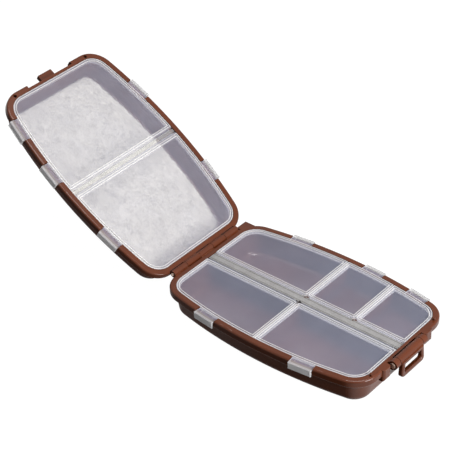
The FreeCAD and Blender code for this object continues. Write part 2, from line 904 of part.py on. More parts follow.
def latch_pin():
    """Straight pin with a button head on the near lug."""
    reach = "lug_end"
    place = ("latch_x", "base_depth - latch_drop")
    shank = rod("latch_pin_shank", "latch_pin_radius", "y", f"-({reach})", reach, place)
    head = rod(
        "latch_pin_button",
        "latch_pin_head",
        "y",
        f"-({reach}) - latch_pin_head_length",
        f"-({reach})",
        place,
    )
    return fuse("latch_pin", [shank, head])


def latch_bail():
    """Hanging loop, wider at its foot, on a sleeve that turns on the latch pin."""
    body = doc.addObject("PartDesign::Body", "latch_bail")
    level = "base_depth - latch_drop"
    loop = body.newObject("Sketcher::SketchObject", "bail_loop")
    loop.AttachmentSupport = (plane_of(body, "YZ_Plane"), [""])
    loop.MapMode = "FlatFace"
    bind(loop, "AttachmentOffset.Base.z", "latch_x + bail_offset")
    top = value("base_depth") - value("latch_drop")
    foot = top - value("bail_length")
    bar = value("bail_bar")
    narrow, wide = value("bail_inner_top"), value("bail_inner_bottom")
    inside = top - value("bail_head")
    rings = [(narrow + bar, wide + bar, top, foot), (narrow, wide, inside, foot + bar)]
    for half_top, half_foot, high, low in rings:
        corners = [(-half_top, high), (half_top, high), (half_foot, low), (-half_foot, low)]
        for start, end in zip(corners, corners[1:] + corners[:1]):
            loop.addGeometry(
                Part.LineSegment(FreeCAD.Vector(*start, 0), FreeCAD.Vector(*end, 0))
            )
    first, last, centre, across, upright = 1, 2, 3, -1, -2
    for ring in (0, 4):
        for n in range(4):
            following = ring + (n + 1) % 4
            loop.addConstraint(Sketcher.Constraint("Coincident", ring + n, last, following, first))
        loop.addConstraint(Sketcher.Constraint("Symmetric", ring, first, ring, last, upright))
        loop.addConstraint(Sketcher.Constraint("Symmetric", ring + 2, first, ring + 2, last, upright))
    driven = {
        "outer_top": (("DistanceX", 0, first, 0, last), "2 * (bail_inner_top + bail_bar)"),
        "outer_foot": (("DistanceX", 2, last, 2, first), "2 * (bail_inner_bottom + bail_bar)"),
        "inner_top": (("DistanceX", 4, first, 4, last), "2 * bail_inner_top"),
        "inner_foot": (("DistanceX", 6, last, 6, first), "2 * bail_inner_bottom"),
        "outer_level": (("DistanceY", across, first, 0, first), level),
        "inner_level": (("DistanceY", across, first, 4, first), f"{level} - bail_head"),
        "outer_low": (("DistanceY", across, first, 2, first), f"{level} - bail_length"),
        "inner_low": (("DistanceY", across, first, 6, first), f"{level} - bail_length + bail_bar"),
    }
    starts = {
        "outer_top": 2 * (narrow + bar),
        "outer_foot": 2 * (wide + bar),
        "inner_top": 2 * narrow,
        "inner_foot": 2 * wide,
        "outer_level": top,
        "inner_level": inside,
        "outer_low": foot,
        "inner_low": foot + bar,
    }
    for title, (rule, expression) in driven.items():
        number = loop.addConstraint(Sketcher.Constraint(*rule, starts[title]))
        loop.renameConstraint(number, title)
        bind(loop, f"Constraints.{title}", expression)
    pad = body.newObject("PartDesign::Pad", "bail_pad")
    pad.Profile = loop
    bind(pad, "Length", "bail_bar")
    doc.recompute()
    front = value("latch_x") + value("bail_offset") + bar
    sill = foot + bar
    rounds = {
        "bail_inner_corners": (
            "bail_inner_corner",
            lambda b: b.XLength > bar - TINY and abs(b.ZMax - sill) < TINY,
        ),
        "bail_corners": ("bail_corner", lambda b: b.XLength > bar - TINY and b.ZMax < foot + TINY),
        "bail_edges": ("bail_edge", lambda b: b.XMin > front - TINY and b.ZMin < inside - bar),
    }
    for title, (radius, wanted) in rounds.items():
        base = body.Tip
        edges = enumerate(base.Shape.Edges, start=1)
        names = [f"Edge{number}" for number, edge in edges if wanted(edge.BoundBox)]
        soft = body.newObject("PartDesign::Fillet", title)
        soft.Base = (base, names)
        bind(soft, "Radius", radius)
        doc.recompute()
    for title, kind, radius in (
        ("sleeve", "PartDesign::Pad", "sleeve_radius"),
        ("sleeve_bore", "PartDesign::Pocket", "latch_pin_radius + pin_clearance"),
    ):
        ring = body.newObject("Sketcher::SketchObject", title + "_circle")
        ring.AttachmentSupport = (plane_of(body, "XZ_Plane"), [""])
        ring.MapMode = "FlatFace"
        pivot = FreeCAD.Vector(value("latch_x"), top, 0)
        ring.addGeometry(Part.Circle(pivot, FreeCAD.Vector(0, 0, 1), value("sleeve_radius")))
        places = {
            "radius": (("Radius", 0, value("sleeve_radius")), radius),
            "along": (("DistanceX", across, first, 0, centre, pivot.x), "latch_x"),
            "level": (("DistanceY", across, first, 0, centre, pivot.y), level),
        }
        for word, (rule, expression) in places.items():
            number = ring.addConstraint(Sketcher.Constraint(*rule))
            ring.renameConstraint(number, word)
            bind(ring, f"Constraints.{word}", expression)
        feature = body.newObject(kind, title)
        feature.Profile = ring
        feature.Midplane = True
        bind(feature, "Length", "2 * sleeve_half")
    return body


def lid_pose():
    """The lid half turned over onto the base, then swung open about the hinge pin."""
    x_axis, y_axis = FreeCAD.Vector(1, 0, 0), FreeCAD.Vector(0, 1, 0)
    origin = FreeCAD.Vector(0, 0, 0)
    lift = value("base_depth") + value("rim_gap") + value("lid_depth")
    flip = FreeCAD.Placement(FreeCAD.Vector(0, 0, lift), FreeCAD.Rotation(x_axis, 180))
    pivot = FreeCAD.Vector(-value("hinge_x"), 0, value("base_depth") + value("rim_gap") / 2)
    swing = FreeCAD.Placement(origin, FreeCAD.Rotation(y_axis, -value("open_angle")), pivot)
    return swing * flip


def check(objects):
    """Stop if any feature failed or any piece has no sound solid."""
    for item in doc.Objects:
        if {"Invalid", "Error"} & set(item.State):
            raise RuntimeError(f"{item.Name} failed: {item.State}")
    for item in objects:
        if item.Shape.isNull() or not item.Shape.isValid() or not item.Shape.Solids:
            raise RuntimeError(f"{item.Label} has no valid solid")


fill_sheet()
base_half = [base_shell(), divider_frame(), base_spine()]
base_half += base_lids() + [hinge_pin(), latch_bail(), latch_pin()]
lid_half = [lid_shell()]
span = "crown - panel_inset"
lid_half.append(cradle_strip("lid_crossbar", "XZ_Plane", "lid_depth", "bar_hinge", span))
lid_half += lid_doors() + fleece_sheet()
for piece in lid_half:
    piece.Placement = lid_pose()
doc.recompute()

check(base_half + lid_half)
os.makedirs("parts", exist_ok=True)
for piece in base_half + lid_half:
    piece.Shape.exportStep(f"parts/{piece.Label}.step")
    solids = len(piece.Shape.Solids)
    print(f"{piece.Label}: {solids} solid, {piece.Shape.Volume / 1000:.2f} cubic centimetres")
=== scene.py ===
# %% [markdown]
# # A pocket tackle box, dressed in Blender
# The object is a moulded box that opens like a book: a brown base with five small see-through lids,
# and a brown lid half with two see-through doors over a white fleece sheet. The shapes come from the
# CAD frame, so this lesson is about camera, light and finishes, and about one soft piece, the fleece.
# Loading the frame first means that every later place can be measured from it.

# %% Load the frame
import json
import math

import bpy
from mathutils import Matrix, Vector, noise


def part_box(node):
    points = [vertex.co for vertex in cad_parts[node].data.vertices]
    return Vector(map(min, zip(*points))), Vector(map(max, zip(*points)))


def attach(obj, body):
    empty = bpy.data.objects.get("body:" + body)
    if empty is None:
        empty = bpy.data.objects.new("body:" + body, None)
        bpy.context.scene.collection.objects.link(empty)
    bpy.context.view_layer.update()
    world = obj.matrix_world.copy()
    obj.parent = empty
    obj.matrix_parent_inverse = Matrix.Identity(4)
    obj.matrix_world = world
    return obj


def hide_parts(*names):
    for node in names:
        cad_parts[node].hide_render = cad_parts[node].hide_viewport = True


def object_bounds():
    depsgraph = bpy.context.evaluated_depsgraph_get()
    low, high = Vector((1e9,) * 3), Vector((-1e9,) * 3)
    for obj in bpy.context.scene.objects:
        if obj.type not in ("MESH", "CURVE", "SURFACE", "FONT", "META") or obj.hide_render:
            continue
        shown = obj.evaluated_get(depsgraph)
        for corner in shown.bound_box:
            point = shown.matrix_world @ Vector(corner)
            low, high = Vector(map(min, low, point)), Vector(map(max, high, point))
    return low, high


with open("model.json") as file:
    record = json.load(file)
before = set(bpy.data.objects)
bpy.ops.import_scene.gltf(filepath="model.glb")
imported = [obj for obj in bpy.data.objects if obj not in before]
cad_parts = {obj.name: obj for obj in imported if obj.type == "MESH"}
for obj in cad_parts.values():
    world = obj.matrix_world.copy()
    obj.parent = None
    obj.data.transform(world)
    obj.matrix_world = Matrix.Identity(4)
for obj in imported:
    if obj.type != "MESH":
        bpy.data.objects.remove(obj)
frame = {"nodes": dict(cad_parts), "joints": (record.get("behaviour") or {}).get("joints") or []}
cad_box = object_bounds()
nodes = frame["nodes"]
scene = bpy.context.scene
MM = 0.001
print("nodes:", len(nodes), "box in mm:", [[round(v / MM, 1) for v in corner] for corner in cad_box])

# %% [markdown]
# ## The two halves share one measure
# Both halves are the same moulding idea, drawn from the hinge pin outwards. If a point is measured
# along the half, across it and up from its rim, one finish can serve both halves. The hinge joint in
# the frame's record says where the pin is and how far the lid is open, so the lid half's own
# directions follow from the base's by one turn.

# %% Directions of the base and of the open lid
hinge = next(joint for joint in frame["joints"] if joint["name"] == "main_hinge")
hinge_point = Vector(hinge["pos_m"])
closed_angle = math.radians(hinge["range_deg"][0])
lid_turn = Matrix.Rotation(closed_angle, 3, "Y")
base_along, base_up = Vector((1, 0, 0)), Vector((0, 0, 1))
lid_along, lid_up = lid_turn @ Vector((1, 0, 0)), lid_turn @ Vector((0, 0, -1))
rim_below_pin = 0.15 * MM
print("lid half runs along", [round(v, 3) for v in lid_along], "and faces", [round(v, 3) for v in lid_up])

# %% [markdown]
# ## Camera
# The photograph looks down on the latch end from the front right with a long lens, so the sides hardly
# converge. A camera can be aimed with a Track To constraint, but here its three axes are written out
# from the azimuth, the elevation and a slight roll, because then the angle can be read and changed.

# %% Camera
azimuth, elevation, roll = math.radians(41.66), math.radians(35.58), math.radians(-2.41)
aim = Vector((-50.4, -9.5, 56.9)) * MM
distance = 908.2 * MM
sensor_mm, lens_mm = 36, 122.56
back = Vector((
    math.sin(azimuth) * math.cos(elevation),
    -math.cos(azimuth) * math.cos(elevation),
    math.sin(elevation),
))
level = Vector((math.cos(azimuth), math.sin(azimuth), 0))
upright = back.cross(level)
right = level * math.cos(roll) + upright * math.sin(roll)
top = upright * math.cos(roll) - level * math.sin(roll)
camera_data = bpy.data.cameras.new("camera")
camera_data.sensor_width = sensor_mm
camera_data.lens = lens_mm
camera = bpy.data.objects.new("camera", camera_data)
turned = Matrix((right, top, back)).transposed().to_4x4()
camera.matrix_world = Matrix.Translation(aim + back * distance) @ turned
scene.collection.objects.link(camera)
scene.camera = camera
print("camera at", [round(v, 3) for v in camera.location], "metres, lens", camera_data.lens, "mm")

# %% [markdown]
# ## Small tools for node trees
# Materials are graphs of nodes. A few helpers keep their code short: one fills a node's inputs with
# values or links and one places a node, others do a sum, a soft step, a range or a blend of colours,
# and one starts a node group with named inputs and outputs. A group is built once and then used in
# several materials with different values.

# %% Node helpers
mix_share, mix_first, mix_second, mix_result = 0, 6, 7, 2


def fill(tree, made, inputs):
    """Give each listed input of a node its value, or a link."""
    for name, given in inputs.items():
        if isinstance(given, bpy.types.NodeSocket):
            tree.links.new(given, made.inputs[name])
        else:
            made.inputs[name].default_value = given


def node(tree, kind, inputs=None, **options):
    """Place a shader node, set its options, and fill its inputs."""
    made = tree.nodes.new("ShaderNode" + kind)
    for name, option in options.items():
        setattr(made, name, option)
    fill(tree, made, inputs or {})
    return made


def sum_of(tree, operation, first, second=0.0):
    """One step of arithmetic on two values."""
    return node(tree, "Math", {0: first, 1: second}, operation=operation).outputs[0]


def dot_of(tree, first, second):
    """How far one direction or place reaches along another."""
    return node(tree, "VectorMath", {0: first, 1: second}, operation="DOT_PRODUCT").outputs["Value"]


def step_up(tree, given, low, high):
    """A soft step from 0 to 1 as the given value passes from low to high."""
    inputs = {"Value": given, "From Min": low, "From Max": high}
    return node(tree, "MapRange", inputs, interpolation_type="SMOOTHSTEP").outputs["Result"]


def range_of(tree, share, low, high):
    """A value that goes from low to high as the share goes from 0 to 1."""
    return node(tree, "MapRange", {"Value": share, "To Min": low, "To Max": high}).outputs["Result"]


def blend_of(tree, share, first, second):
    """A colour between two colours, each a value or a link."""
    inputs = {mix_share: share, mix_first: first, mix_second: second}
    return node(tree, "Mix", inputs, data_type="RGBA").outputs[mix_result]


def noise_of(tree, point, scale, detail, distortion=0.0):
    """Cloudy noise at a point; a larger scale makes smaller clouds."""
    inputs = {"Vector": point, "Scale": scale, "Detail": detail, "Distortion": distortion}
    return node(tree, "TexNoise", inputs).outputs[0]


def bump_of(tree, height, strength, depth_mm, normal=None):
    """A normal that is bent by a height; the depth of the bumps is in millimetres."""
    inputs = {"Strength": strength, "Distance": depth_mm * MM, "Height": height}
    if normal is not None:
        inputs["Normal"] = normal
    return node(tree, "Bump", inputs).outputs[0]


def object_point(tree):
    """The point that is shaded, in metres, measured in its object's own directions."""
    return node(tree, "TexCoord").outputs["Object"]


def new_group(name, inputs, outputs):
    """A node group with its named sockets; inputs maps a name to its kind and starting value."""
    group = bpy.data.node_groups.new(name, "ShaderNodeTree")
    for title, (kind, start) in inputs.items():
        socket = group.interface.new_socket(title, in_out="INPUT", socket_type="NodeSocket" + kind)
        socket.default_value = start
    for title, kind in outputs.items():
        group.interface.new_socket(title, in_out="OUTPUT", socket_type="NodeSocket" + kind)
    return group, group.nodes.new("NodeGroupInput").outputs, group.nodes.new("NodeGroupOutput")


def use_group(tree, group, inputs=None):
    """Place a node group, fill its inputs, and give its outputs."""
    return node(tree, "Group", inputs, node_tree=group).outputs


def new_material(name):
    """A material with only a Principled shader in it."""
    material = bpy.data.materials.new(name)
    material.use_nodes = True
    return material, material.node_tree, material.node_tree.nodes["Principled BSDF"]


print("helpers ready")

# %% [markdown]
# ## Where on a half is this point?
# The clear lids are whiter along their frames, ridges and lips. Painting that by hand would need
# texture maps; measuring it needs none. This group turns a point of the object into millimetres along
# the half, across it and up from the rim, with the half's own directions as inputs.


# %% Group: place on a half
def place_group():
    group, given, result = new_group(
        "place_on_half",
        {"Along": ("Vector", base_along), "Up": ("Vector", base_up)},
        {"Along": "Float", "Across": "Float", "Height": "Float"},
    )
    point = object_point(group)
    from_pin = node(group, "VectorMath", {0: point, 1: hinge_point}, operation="SUBTRACT").outputs[0]
    in_mm = node(group, "VectorMath", {0: from_pin, "Scale": 1 / MM}, operation="SCALE").outputs[0]
    along = dot_of(group, in_mm, given["Along"])
    height = dot_of(group, in_mm, given["Up"])
    across = node(group, "SeparateXYZ", {0: in_mm}).outputs["Y"]
    measured = {
        "Along": sum_of(group, "ADD", along, hinge_point.x / MM),
        "Across": sum_of(group, "ABSOLUTE", across),
        "Height": sum_of(group, "ADD", height, rim_below_pin / MM),
    }
    fill(group, result, measured)
    return group


place_on_half = place_group()
print("group:", place_on_half.name)

# %% [markdown]
# ## Moulded grain
# Injection-moulded plastic copies the fine spark texture of its mould, and flows in it leave broad,
# faint cloudiness. Two noise textures of different size give both: the fine one is a height for the
# bump, the broad one shifts roughness and colour a little.

# %% Group: moulded grain
cloud_low, cloud_high = 0.3, 0.7


def grain_group():
    group, given, result = new_group(
        "moulded_grain",
        {"Grain Size": ("Float", 0.5), "Cloud Size": ("Float", 14.0)},
        {"Height": "Float", "Cloud": "Float"},
    )
    point = object_point(group)
    fine_scale = sum_of(group, "DIVIDE", 1 / MM, given["Grain Size"])
    broad_scale = sum_of(group, "DIVIDE", 1 / MM, given["Cloud Size"])
    fine = noise_of(group, point, fine_scale, detail=3.0)
    broad = noise_of(group, point, broad_scale, detail=4.0)
    fill(group, result, {"Height": fine, "Cloud": step_up(group, broad, cloud_low, cloud_high)})
    return group


moulded_grain = grain_group()
print("group:", moulded_grain.name)

# %% [markdown]
# ## Rubbed edges
# A pocketed box is polished and paled where fingers and cloth rub it: on its edges. The Bevel node
# looks at the surface a small way round each point and gives a normal as if the edges were rounded.
# Where that normal leaves the real one, there is an edge. Noise breaks the rubbing up.

# %% Group: rubbed edges
edge_low, edge_high = 0.02, 0.16
patch_low, patch_high = 0.35, 0.65
bevel_samples = 6


def rubbed_group():
    group, given, result = new_group(
        "rubbed_edges",
        {"Reach": ("Float", 0.4), "Patch Size": ("Float", 5.0)},
        {"Rubbed": "Float", "Normal": "Vector"},
    )
    reach = sum_of(group, "MULTIPLY", given["Reach"], MM)
    softened = node(group, "Bevel", {"Radius": reach}, samples=bevel_samples).outputs[0]
    facing = node(group, "NewGeometry").outputs["Normal"]
    apart = sum_of(group, "SUBTRACT", 1.0, dot_of(group, softened, facing))
    edge = step_up(group, apart, edge_low, edge_high)
    scale = sum_of(group, "DIVIDE", 1 / MM, given["Patch Size"])
    patches = noise_of(group, object_point(group), scale, detail=5.0)
    rubbed = sum_of(group, "MULTIPLY", edge, step_up(group, patches, patch_low, patch_high))
    fill(group, result, {"Rubbed": rubbed, "Normal": softened})
    return group


rubbed_edges = rubbed_group()
print("group:", rubbed_edges.name)

# %% [markdown]
# ## Frosting
# The clear pieces are milky polypropylene. Where the plastic is thin it is only hazy; the frame round
# each lid, its two raised crests, the hooked tabs with their lips and every upright face are thicker
# along the line of sight and look whiter. This group reads the place on the half and gives three values:
# the haze, which becomes the alpha, the milk, which whitens the colour, and the tip, a painted shade that
# greys the flat top of each tab where it leaves the rim, as if the shadowed notch showed through. The
# heights and radii are sizes of the box in millimetres, and each mask fades in over a short distance
# beside one of them.

# %% Group: frosting
panel_top_mm, panel_under_mm, tab_edge_mm = -0.5, -1.7, 1.2
side_radius_mm, side_centre_mm = 328.0, 278.0
crest_low_mm, crest_high_mm = panel_top_mm + 0.05, panel_top_mm + 0.2
frame_low_mm, frame_high_mm = 0.05 - panel_under_mm, 0.25 - panel_under_mm
tab_fade_mm, lip_fade_mm, top_fade_mm = 0.3, 0.2, 0.4
steep_low, steep_high = 0.2, 0.6
flat_low, flat_high = 0.6, 0.9


def frosting_group():
    group, given, result = new_group(
        "frosting",
        {
            "Along": ("Float", 0.0),
            "Across": ("Float", 0.0),
            "Height": ("Float", 0.0),
            "Up": ("Vector", base_up),
            "Plate": ("Float", 0.15),
            "Frame": ("Float", 0.6),
            "Crest": ("Float", 0.6),
            "Side": ("Float", 0.5),
            "Tab": ("Float", 0.5),
            "Lip": ("Float", 0.65),
        },
        {"Haze": "Float", "Milk": "Float", "Tip": "Float"},
    )
    height = given["Height"]
    depth = sum_of(group, "MULTIPLY", height, -1.0)
    from_centre = sum_of(group, "ADD", given["Across"], side_centre_mm)
    square = sum_of(group, "MULTIPLY", from_centre, from_centre)
    along_square = sum_of(group, "MULTIPLY", given["Along"], given["Along"])
    reach = sum_of(group, "SQRT", sum_of(group, "ADD", square, along_square))
    normal = node(group, "NewGeometry").outputs["Normal"]
    flat = sum_of(group, "ABSOLUTE", dot_of(group, normal, given["Up"]))
    steep = sum_of(group, "SUBTRACT", 1.0, flat)
    tab_start = side_radius_mm - tab_edge_mm
    masks = {
        "Crest": step_up(group, height, crest_low_mm, crest_high_mm),
        "Frame": step_up(group, depth, frame_low_mm, frame_high_mm),
        "Side": step_up(group, steep, steep_low, steep_high),
        "Tab": step_up(group, reach, tab_start - tab_fade_mm, tab_start),
        "Lip": step_up(group, reach, side_radius_mm - lip_fade_mm, side_radius_mm + lip_fade_mm),
    }
    near_top = step_up(group, height, panel_under_mm + top_fade_mm, panel_top_mm - top_fade_mm)
    haze, milk = sum_of(group, "MULTIPLY", near_top, given["Plate"]), 0.0
    for title, mask in masks.items():
        haze = sum_of(group, "MAXIMUM", haze, sum_of(group, "MULTIPLY", mask, given[title]))
        milk = sum_of(group, "MAXIMUM", mask, milk)
    # painted shade: flat tab tops are greyed, as if the shadowed notch showed through
    tip = sum_of(group, "MULTIPLY", masks["Tab"], step_up(group, flat, flat_low, flat_high))
    fill(group, result, {"Haze": haze, "Milk": milk, "Tip": tip})
    return group


frosting = frosting_group()
print("group:", frosting.name)

# %% [markdown]
# ## Polished side
# A mould has two sides. The one that shapes the open side of a half, its rim and the floors of its
# compartments, is usually polished, and the one that shapes the outside is left satin. So faces that
# look towards the open side get a gloss. Rims lose some of theirs in use, so only faces deep inside
# have all of it, and the free end of a half, where fingers work the latch, is rubbed to a gloss too.
# The group compares each face's normal with the half's own directions and gives a mask.

# %% Group: polished side
inside_low_mm, inside_high_mm = 4.0, 9.0
open_low, open_high = 0.05, 0.6
end_low, end_high = 0.2, 0.7


def polished_group():
    group, given, result = new_group(
        "polished_side",
        {
            "Along": ("Vector", base_along),
            "Up": ("Vector", base_up),
            "Height": ("Float", 0.0),
            "Rim Share": ("Float", 0.45),
            "End Share": ("Float", 0.65),
        },
        {"Polish": "Float"},
    )
    normal = node(group, "NewGeometry").outputs["Normal"]
    facing = {way: dot_of(group, normal, given[way]) for way in ("Along", "Up")}
    depth = sum_of(group, "MULTIPLY", given["Height"], -1.0)
    inside = step_up(group, depth, inside_low_mm, inside_high_mm)
    kept = sum_of(group, "MAXIMUM", inside, given["Rim Share"])
    open_side = sum_of(group, "MULTIPLY", kept, step_up(group, facing["Up"], open_low, open_high))
    end_side = step_up(group, facing["Along"], end_low, end_high)
    free_end = sum_of(group, "MULTIPLY", given["End Share"], end_side)
    fill(group, result, {"Polish": sum_of(group, "MAXIMUM", open_side, free_end)})
    return group


polished_side = polished_group()
print("group:", polished_side.name)

# %% [markdown]
# ## Brown plastic
# The shells, the compartment walls, the hinge and the latch are one satin brown plastic. The colour
# drifts a little with the grain's broad clouds, and rubbed edges are paler and shinier. The polish is
# a clear coat, so its highlights stay white and sharp over the satin. Bump depth is a real length, so a
# mould texture of a few hundredths of a millimetre can be written as such.

# %% Material: brown plastic
brown_deep, brown_light = (0.088, 0.0196, 0.0054, 1), (0.108, 0.025, 0.0072, 1)
brown_worn, worn_share, worn_shine = (0.32, 0.15, 0.095, 1), 0.35, 0.1


def brown_plastic(name, along, up):
    material, tree, shader = new_material(name)
    height = use_group(tree, place_on_half, {"Along": along, "Up": up})["Height"]
    polish = use_group(tree, polished_side, {"Along": along, "Up": up, "Height": height})["Polish"]
    grain = use_group(tree, moulded_grain, {"Grain Size": 0.55, "Cloud Size": 16.0})
    edges = use_group(tree, rubbed_edges, {"Reach": 0.45, "Patch Size": 6.0})
    body = blend_of(tree, grain["Cloud"], brown_deep, brown_light)
    worn = sum_of(tree, "MULTIPLY", edges["Rubbed"], worn_share)
    satin = range_of(tree, grain["Cloud"], low=0.37, high=0.44)
    shine = sum_of(tree, "MULTIPLY", edges["Rubbed"], worn_shine)
    look = {
        "Base Color": blend_of(tree, worn, body, brown_worn),
        "Roughness": sum_of(tree, "SUBTRACT", satin, shine),
        "Specular IOR Level": 0.03,
        "Coat Weight": polish,
        "Coat Roughness": 0.24,
        "Normal": bump_of(tree, grain["Height"], strength=0.35, depth_mm=0.05, normal=edges["Normal"]),
    }
    fill(tree, shader, look)
    return material


brown_base = brown_plastic("brown_base", base_along, base_up)
brown_lid = brown_plastic("brown_lid", lid_along, lid_up)
print("materials:", brown_base.name, brown_lid.name)

# %% [markdown]
# ## Milky clear plastic
# A true transmission shader would blur and darken what lies under the lids, and thin sheets of it cast
# heavy shadows. The real lids are nearly clear sheets with a pale haze on them, so the haze is painted
# with alpha: mostly see-through on the plates, and denser, up to about a half, on frames, ridges and
# lips. A little subsurface scattering keeps the plates' shading smooth. The base's lids and the lid
# half's doors get one material each, because they face different ways and differ a little in haze.

# %% Material: milky clear plastic
# the tip colour is a painted shade for the flat tab tops
milk_white, tip_shade_grey = (0.86, 0.855, 0.87, 1), (0.5, 0.485, 0.49, 1)
plate_drift = 0.05
scatter_mm = 0.3


def milky_plastic(name, along, up, plate, haze_colour, thick):
    material, tree, shader = new_material(name)
    place = use_group(tree, place_on_half, {"Along": along, "Up": up})
    grain = use_group(tree, moulded_grain, {"Grain Size": 0.9, "Cloud Size": 26.0})
    cloudy = range_of(tree, grain["Cloud"], plate * (1 - plate_drift), plate * (1 + plate_drift))
    measured = {title: place[title] for title in ("Along", "Across", "Height")}
    frost = use_group(tree, frosting, {"Up": up, "Plate": cloudy, **measured, **thick})
    milky = blend_of(tree, frost["Milk"], haze_colour, milk_white)
    look = {
        # the flat tab tops take a grey painted shade
        "Base Color": blend_of(tree, frost["Tip"], milky, tip_shade_grey),
        "Alpha": frost["Haze"],
        "Roughness": range_of(tree, grain["Cloud"], low=0.3, high=0.4),
        "Specular IOR Level": 0.2,
        "Subsurface Weight": 0.35,
        "Subsurface Radius": (1.0, 1.0, 1.0),
        "Subsurface Scale": scatter_mm * MM,
        "Normal": bump_of(tree, grain["Cloud"], strength=0.2, depth_mm=0.1),
    }
    fill(tree, shader, look)
    return material


base_plate, base_haze = 0.3, (0.452, 0.475, 0.61, 1)
base_thick = {"Frame": 0.5, "Crest": 0.5, "Side": 0.42, "Tab": 0.34, "Lip": 0.55}
base_lids = milky_plastic("milky_base_lids", base_along, base_up, base_plate, base_haze, base_thick)
door_plate, door_haze = 0.28, (0.53, 0.54, 0.66, 1)
door_thick = {"Frame": 0.3, "Crest": 0.46, "Side": 0.3, "Tab": 0.34, "Lip": 0.55}
lid_doors = milky_plastic("milky_doors", lid_along, lid_up, door_plate, door_haze, door_thick)
print("materials:", base_lids.name, lid_doors.name)

# %% [markdown]
# ## Spine and cross bar
# The strips that carry the small hinges are the same plastic with a faint dotted mould texture. The
# spine stands on a brown wall and is nearly solid, so it looks grey, with a painted shade line along
# each side where a crease would be shaded. The cross bar is clearer and lies over white fleece, so it is
# pale. Both strips share one function, and the crease shade is a dark line painted at a given distance
# from the strip's middle.

# %% Material: hinge strips
dot_low, dot_high = 0.42, 0.6
crease_inner_mm, crease_outer_mm = 0.1, 0.35
# the crease colour is a painted shade, a dark line where a crease would be shaded
crease_shade_colour = (0.03, 0.025, 0.022, 1)
strip_drift = 0.08


def hinge_strip(name, dark, light, haze, crease_mm, crease_shade):
    material, tree, shader = new_material(name)
    grain = use_group(tree, moulded_grain, {"Grain Size": 1.1, "Cloud Size": 9.0})
    dots = step_up(tree, grain["Height"], dot_low, dot_high)
    across = use_group(tree, place_on_half)["Across"]
    off_crease = sum_of(tree, "ABSOLUTE", sum_of(tree, "SUBTRACT", across, crease_mm))
    nearness = sum_of(tree, "MULTIPLY", off_crease, -1.0)
    crease = step_up(tree, nearness, -crease_outer_mm, -crease_inner_mm)
    plain = blend_of(tree, dots, dark, light)
    look = {
        # painted shade: the dark crease line is mixed in at the given distance from the middle
        "Base Color": blend_of(tree, sum_of(tree, "MULTIPLY", crease, crease_shade), plain, crease_shade_colour),
        "Alpha": range_of(tree, grain["Cloud"], haze * (1 - strip_drift), haze * (1 + strip_drift)),
        "Roughness": range_of(tree, grain["Cloud"], low=0.34, high=0.44),
        "Normal": bump_of(tree, dots, strength=0.4, depth_mm=0.08),
    }
    fill(tree, shader, look)
    return material


spine_dark, spine_light = (0.31, 0.303, 0.3, 1), (0.36, 0.353, 0.35, 1)
spine_grey = hinge_strip("milky_spine", spine_dark, spine_light, haze=0.82, crease_mm=1.9, crease_shade=0.7)
bar_dark, bar_light = (0.65, 0.65, 0.67, 1), (0.71, 0.71, 0.73, 1)
bar_pale = hinge_strip("milky_cross_bar", bar_dark, bar_light, haze=0.22, crease_mm=0.0, crease_shade=0.0)
print("materials:", spine_grey.name, bar_pale.name)

# %% [markdown]
# ## Steel pins
# The hinge pin and the latch pin are drawn steel wire, a little tarnished, so their tone is warm. Drawing
# leaves fine lines along the pin, which a noise texture stretched along Y imitates.

# %% Material: drawn steel
steel_dark, steel_light = (0.34, 0.25, 0.2, 1), (0.46, 0.36, 0.3, 1)
lines_per_metre = (4000, 150, 4000)


def drawn_steel():
    material, tree, shader = new_material("drawn_steel")
    point = object_point(tree)
    stretched = node(tree, "Mapping", {"Vector": point, "Scale": lines_per_metre}).outputs[0]
    lines = noise_of(tree, stretched, scale=1.0, detail=2.0)
    look = {
        "Base Color": blend_of(tree, lines, steel_dark, steel_light),
        "Metallic": 1.0,
        "Roughness": range_of(tree, lines, low=0.35, high=0.55),
        "Normal": bump_of(tree, lines, strength=0.3, depth_mm=0.02),
    }
    fill(tree, shader, look)
    return material


steel = drawn_steel()
print("material:", steel.name)

# %% [markdown]
# ## Adhesive film
# Under the fleece lies a thin film of adhesive. Only its edge shows, where the fleece's cut wanders in
# from the wall: a dull, dusty brown grey, a little uneven.

# %% Material: adhesive film
film_dark, film_light = (0.20, 0.17, 0.15, 1), (0.28, 0.24, 0.21, 1)


def adhesive_film():
    material, tree, shader = new_material("adhesive_film")
    grain = use_group(tree, moulded_grain, {"Grain Size": 1.5, "Cloud Size": 6.0})
    look = {
        "Base Color": blend_of(tree, grain["Cloud"], film_dark, film_light),
        "Roughness": 0.3,
        "Normal": bump_of(tree, grain["Height"], strength=0.3, depth_mm=0.05),
    }
    fill(tree, shader, look)
    return material


film = adhesive_film()
print("material:", film.name)

# %% [markdown]
# ## Dress the CAD nodes
# Each node keeps its mesh and gets one of the materials above. The fleece pad isn't in the list, because
# a softer sheet takes its place below.

# %% Give each node its material
finishes = {
    brown_base: ["base_shell", "divider_frame", "latch_bail"],
    brown_lid: ["lid_shell"],
    base_lids: ["lid_far_large", "lid_far_middle", "lid_far_end", "lid_near_hinge", "lid_near_latch"],
    lid_doors: ["door_inner", "door_outer"],
    spine_grey: ["base_spine"],
    bar_pale: ["lid_crossbar"],
    steel: ["hinge_pin", "latch_pin"],
    film: ["fleece_backing"],
}
for finish, names in finishes.items():
    for name in names:
        nodes[name].data.materials.clear()
        nodes[name].data.materials.append(finish)
    print(finish.name, "on", ", ".join(names))

# %% [markdown]
# ## Fleece
# The lid half is lined with white fleece, a thin sheet with a curly pile that takes fly hooks. A flat
# slab would look like card, and a cloth simulation would only lie flat, because the sheet is stuck
# down. So the sheet is drawn as a fine grid whose rows follow the arcs of the box's barrel plan. Noise
# lifts its top into small tufts, and draws its cut edge a little way in from the wall.

# %% Fleece: rows across the plan
half_length_mm, corner_mm = 75.0, 16.0
row_step_mm, least_turns = 0.75, 3


